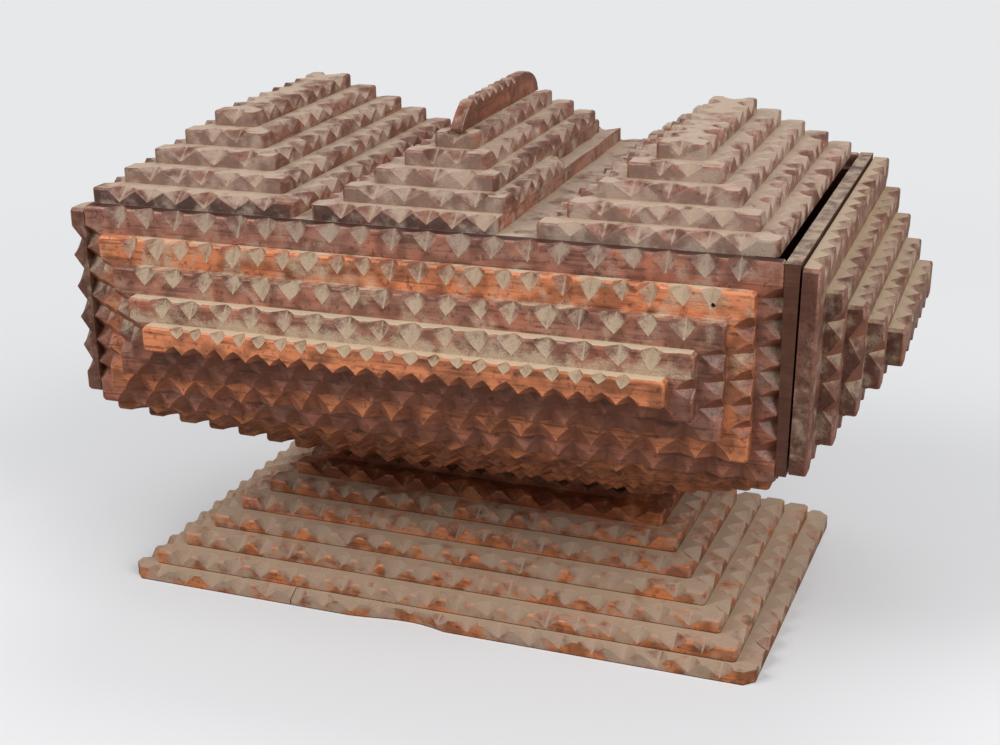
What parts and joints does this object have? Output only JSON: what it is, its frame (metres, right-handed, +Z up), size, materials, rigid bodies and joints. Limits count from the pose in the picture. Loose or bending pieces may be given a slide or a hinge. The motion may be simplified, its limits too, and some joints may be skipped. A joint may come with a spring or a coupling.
{
  "type": "tramp art box",
  "caption": "Lidded wooden box on a stepped pedestal, faced all over with stacks of shrinking chip-carved boards; the lid lifts off by an arched handle.",
  "frame": {"origin": "middle of the overall box at the resting face of the foot board", "axes": "+X along the length of the box towards the end seen in the picture, -Y out of the front, +Z up"},
  "size_m": [0.257, 0.1658, 0.1557],
  "materials": {
    "mauve": "worn satin varnish, dusty",
    "cedar": "worn satin varnish",
    "umber": "dry, dusty",
    "dusty": "dry, dusty",
    "rust": "worn satin varnish",
    "iron": "rusted"
  },
  "bodies": {
    "case": {"front_layer_1": "mauve", "front_layer_2": "cedar", "front_layer_3": "umber", "front_layer_4": "umber", "front_layer_5": "cedar", "back_layer_1": "mauve", "back_layer_2": "cedar", "back_layer_3": "mauve", "back_layer_4": "mauve", "back_layer_5": "mauve", "left_end_layer_1": "mauve", "left_end_layer_2": "mauve", "left_end_layer_3": "mauve", "left_end_layer_4": "mauve", "left_end_layer_5": "mauve", "right_end_layer_1": "mauve", "right_end_layer_2": "mauve", "right_end_layer_3": "mauve", "right_end_layer_4": "mauve", "right_end_layer_5": "mauve", "under_layer_1": "rust", "under_layer_2": "rust", "under_layer_3": "rust", "under_layer_4": "rust", "under_layer_5": "rust", "under_layer_6": "rust", "under_layer_7": "rust", "under_layer_8": "rust", "base_layer_1": "dusty", "base_layer_2": "dusty", "base_layer_3": "dusty", "base_layer_4": "dusty", "base_layer_5": "dusty", "base_layer_6": "dusty", "base_layer_7": "dusty", "base_layer_8": "dusty", "front_wall": "umber", "back_wall": "umber", "left_wall": "umber", "right_wall": "umber", "floor_board": "umber", "case_brads": "iron"},
    "lid": {"lid_board": "mauve", "lid_left_layer_1": "dusty", "lid_left_layer_2": "dusty", "lid_left_layer_3": "dusty", "lid_left_layer_4": "dusty", "lid_left_layer_5": "dusty", "lid_centre_layer_1": "dusty", "lid_centre_layer_2": "dusty", "lid_centre_layer_3": "dusty", "lid_centre_layer_4": "dusty", "lid_centre_layer_5": "dusty", "lid_right_layer_1": "dusty", "lid_right_layer_2": "dusty", "lid_right_layer_3": "dusty", "lid_right_layer_4": "dusty", "lid_right_layer_5": "dusty", "lid_handle": "rust", "lid_brads": "iron"}
  },
  "joints": [
    {"name": "lid_lift", "type": "slide", "parent": "case", "child": "lid", "axis": [0, 0, 1], "range_m": [0, 0.08]}
  ]
}
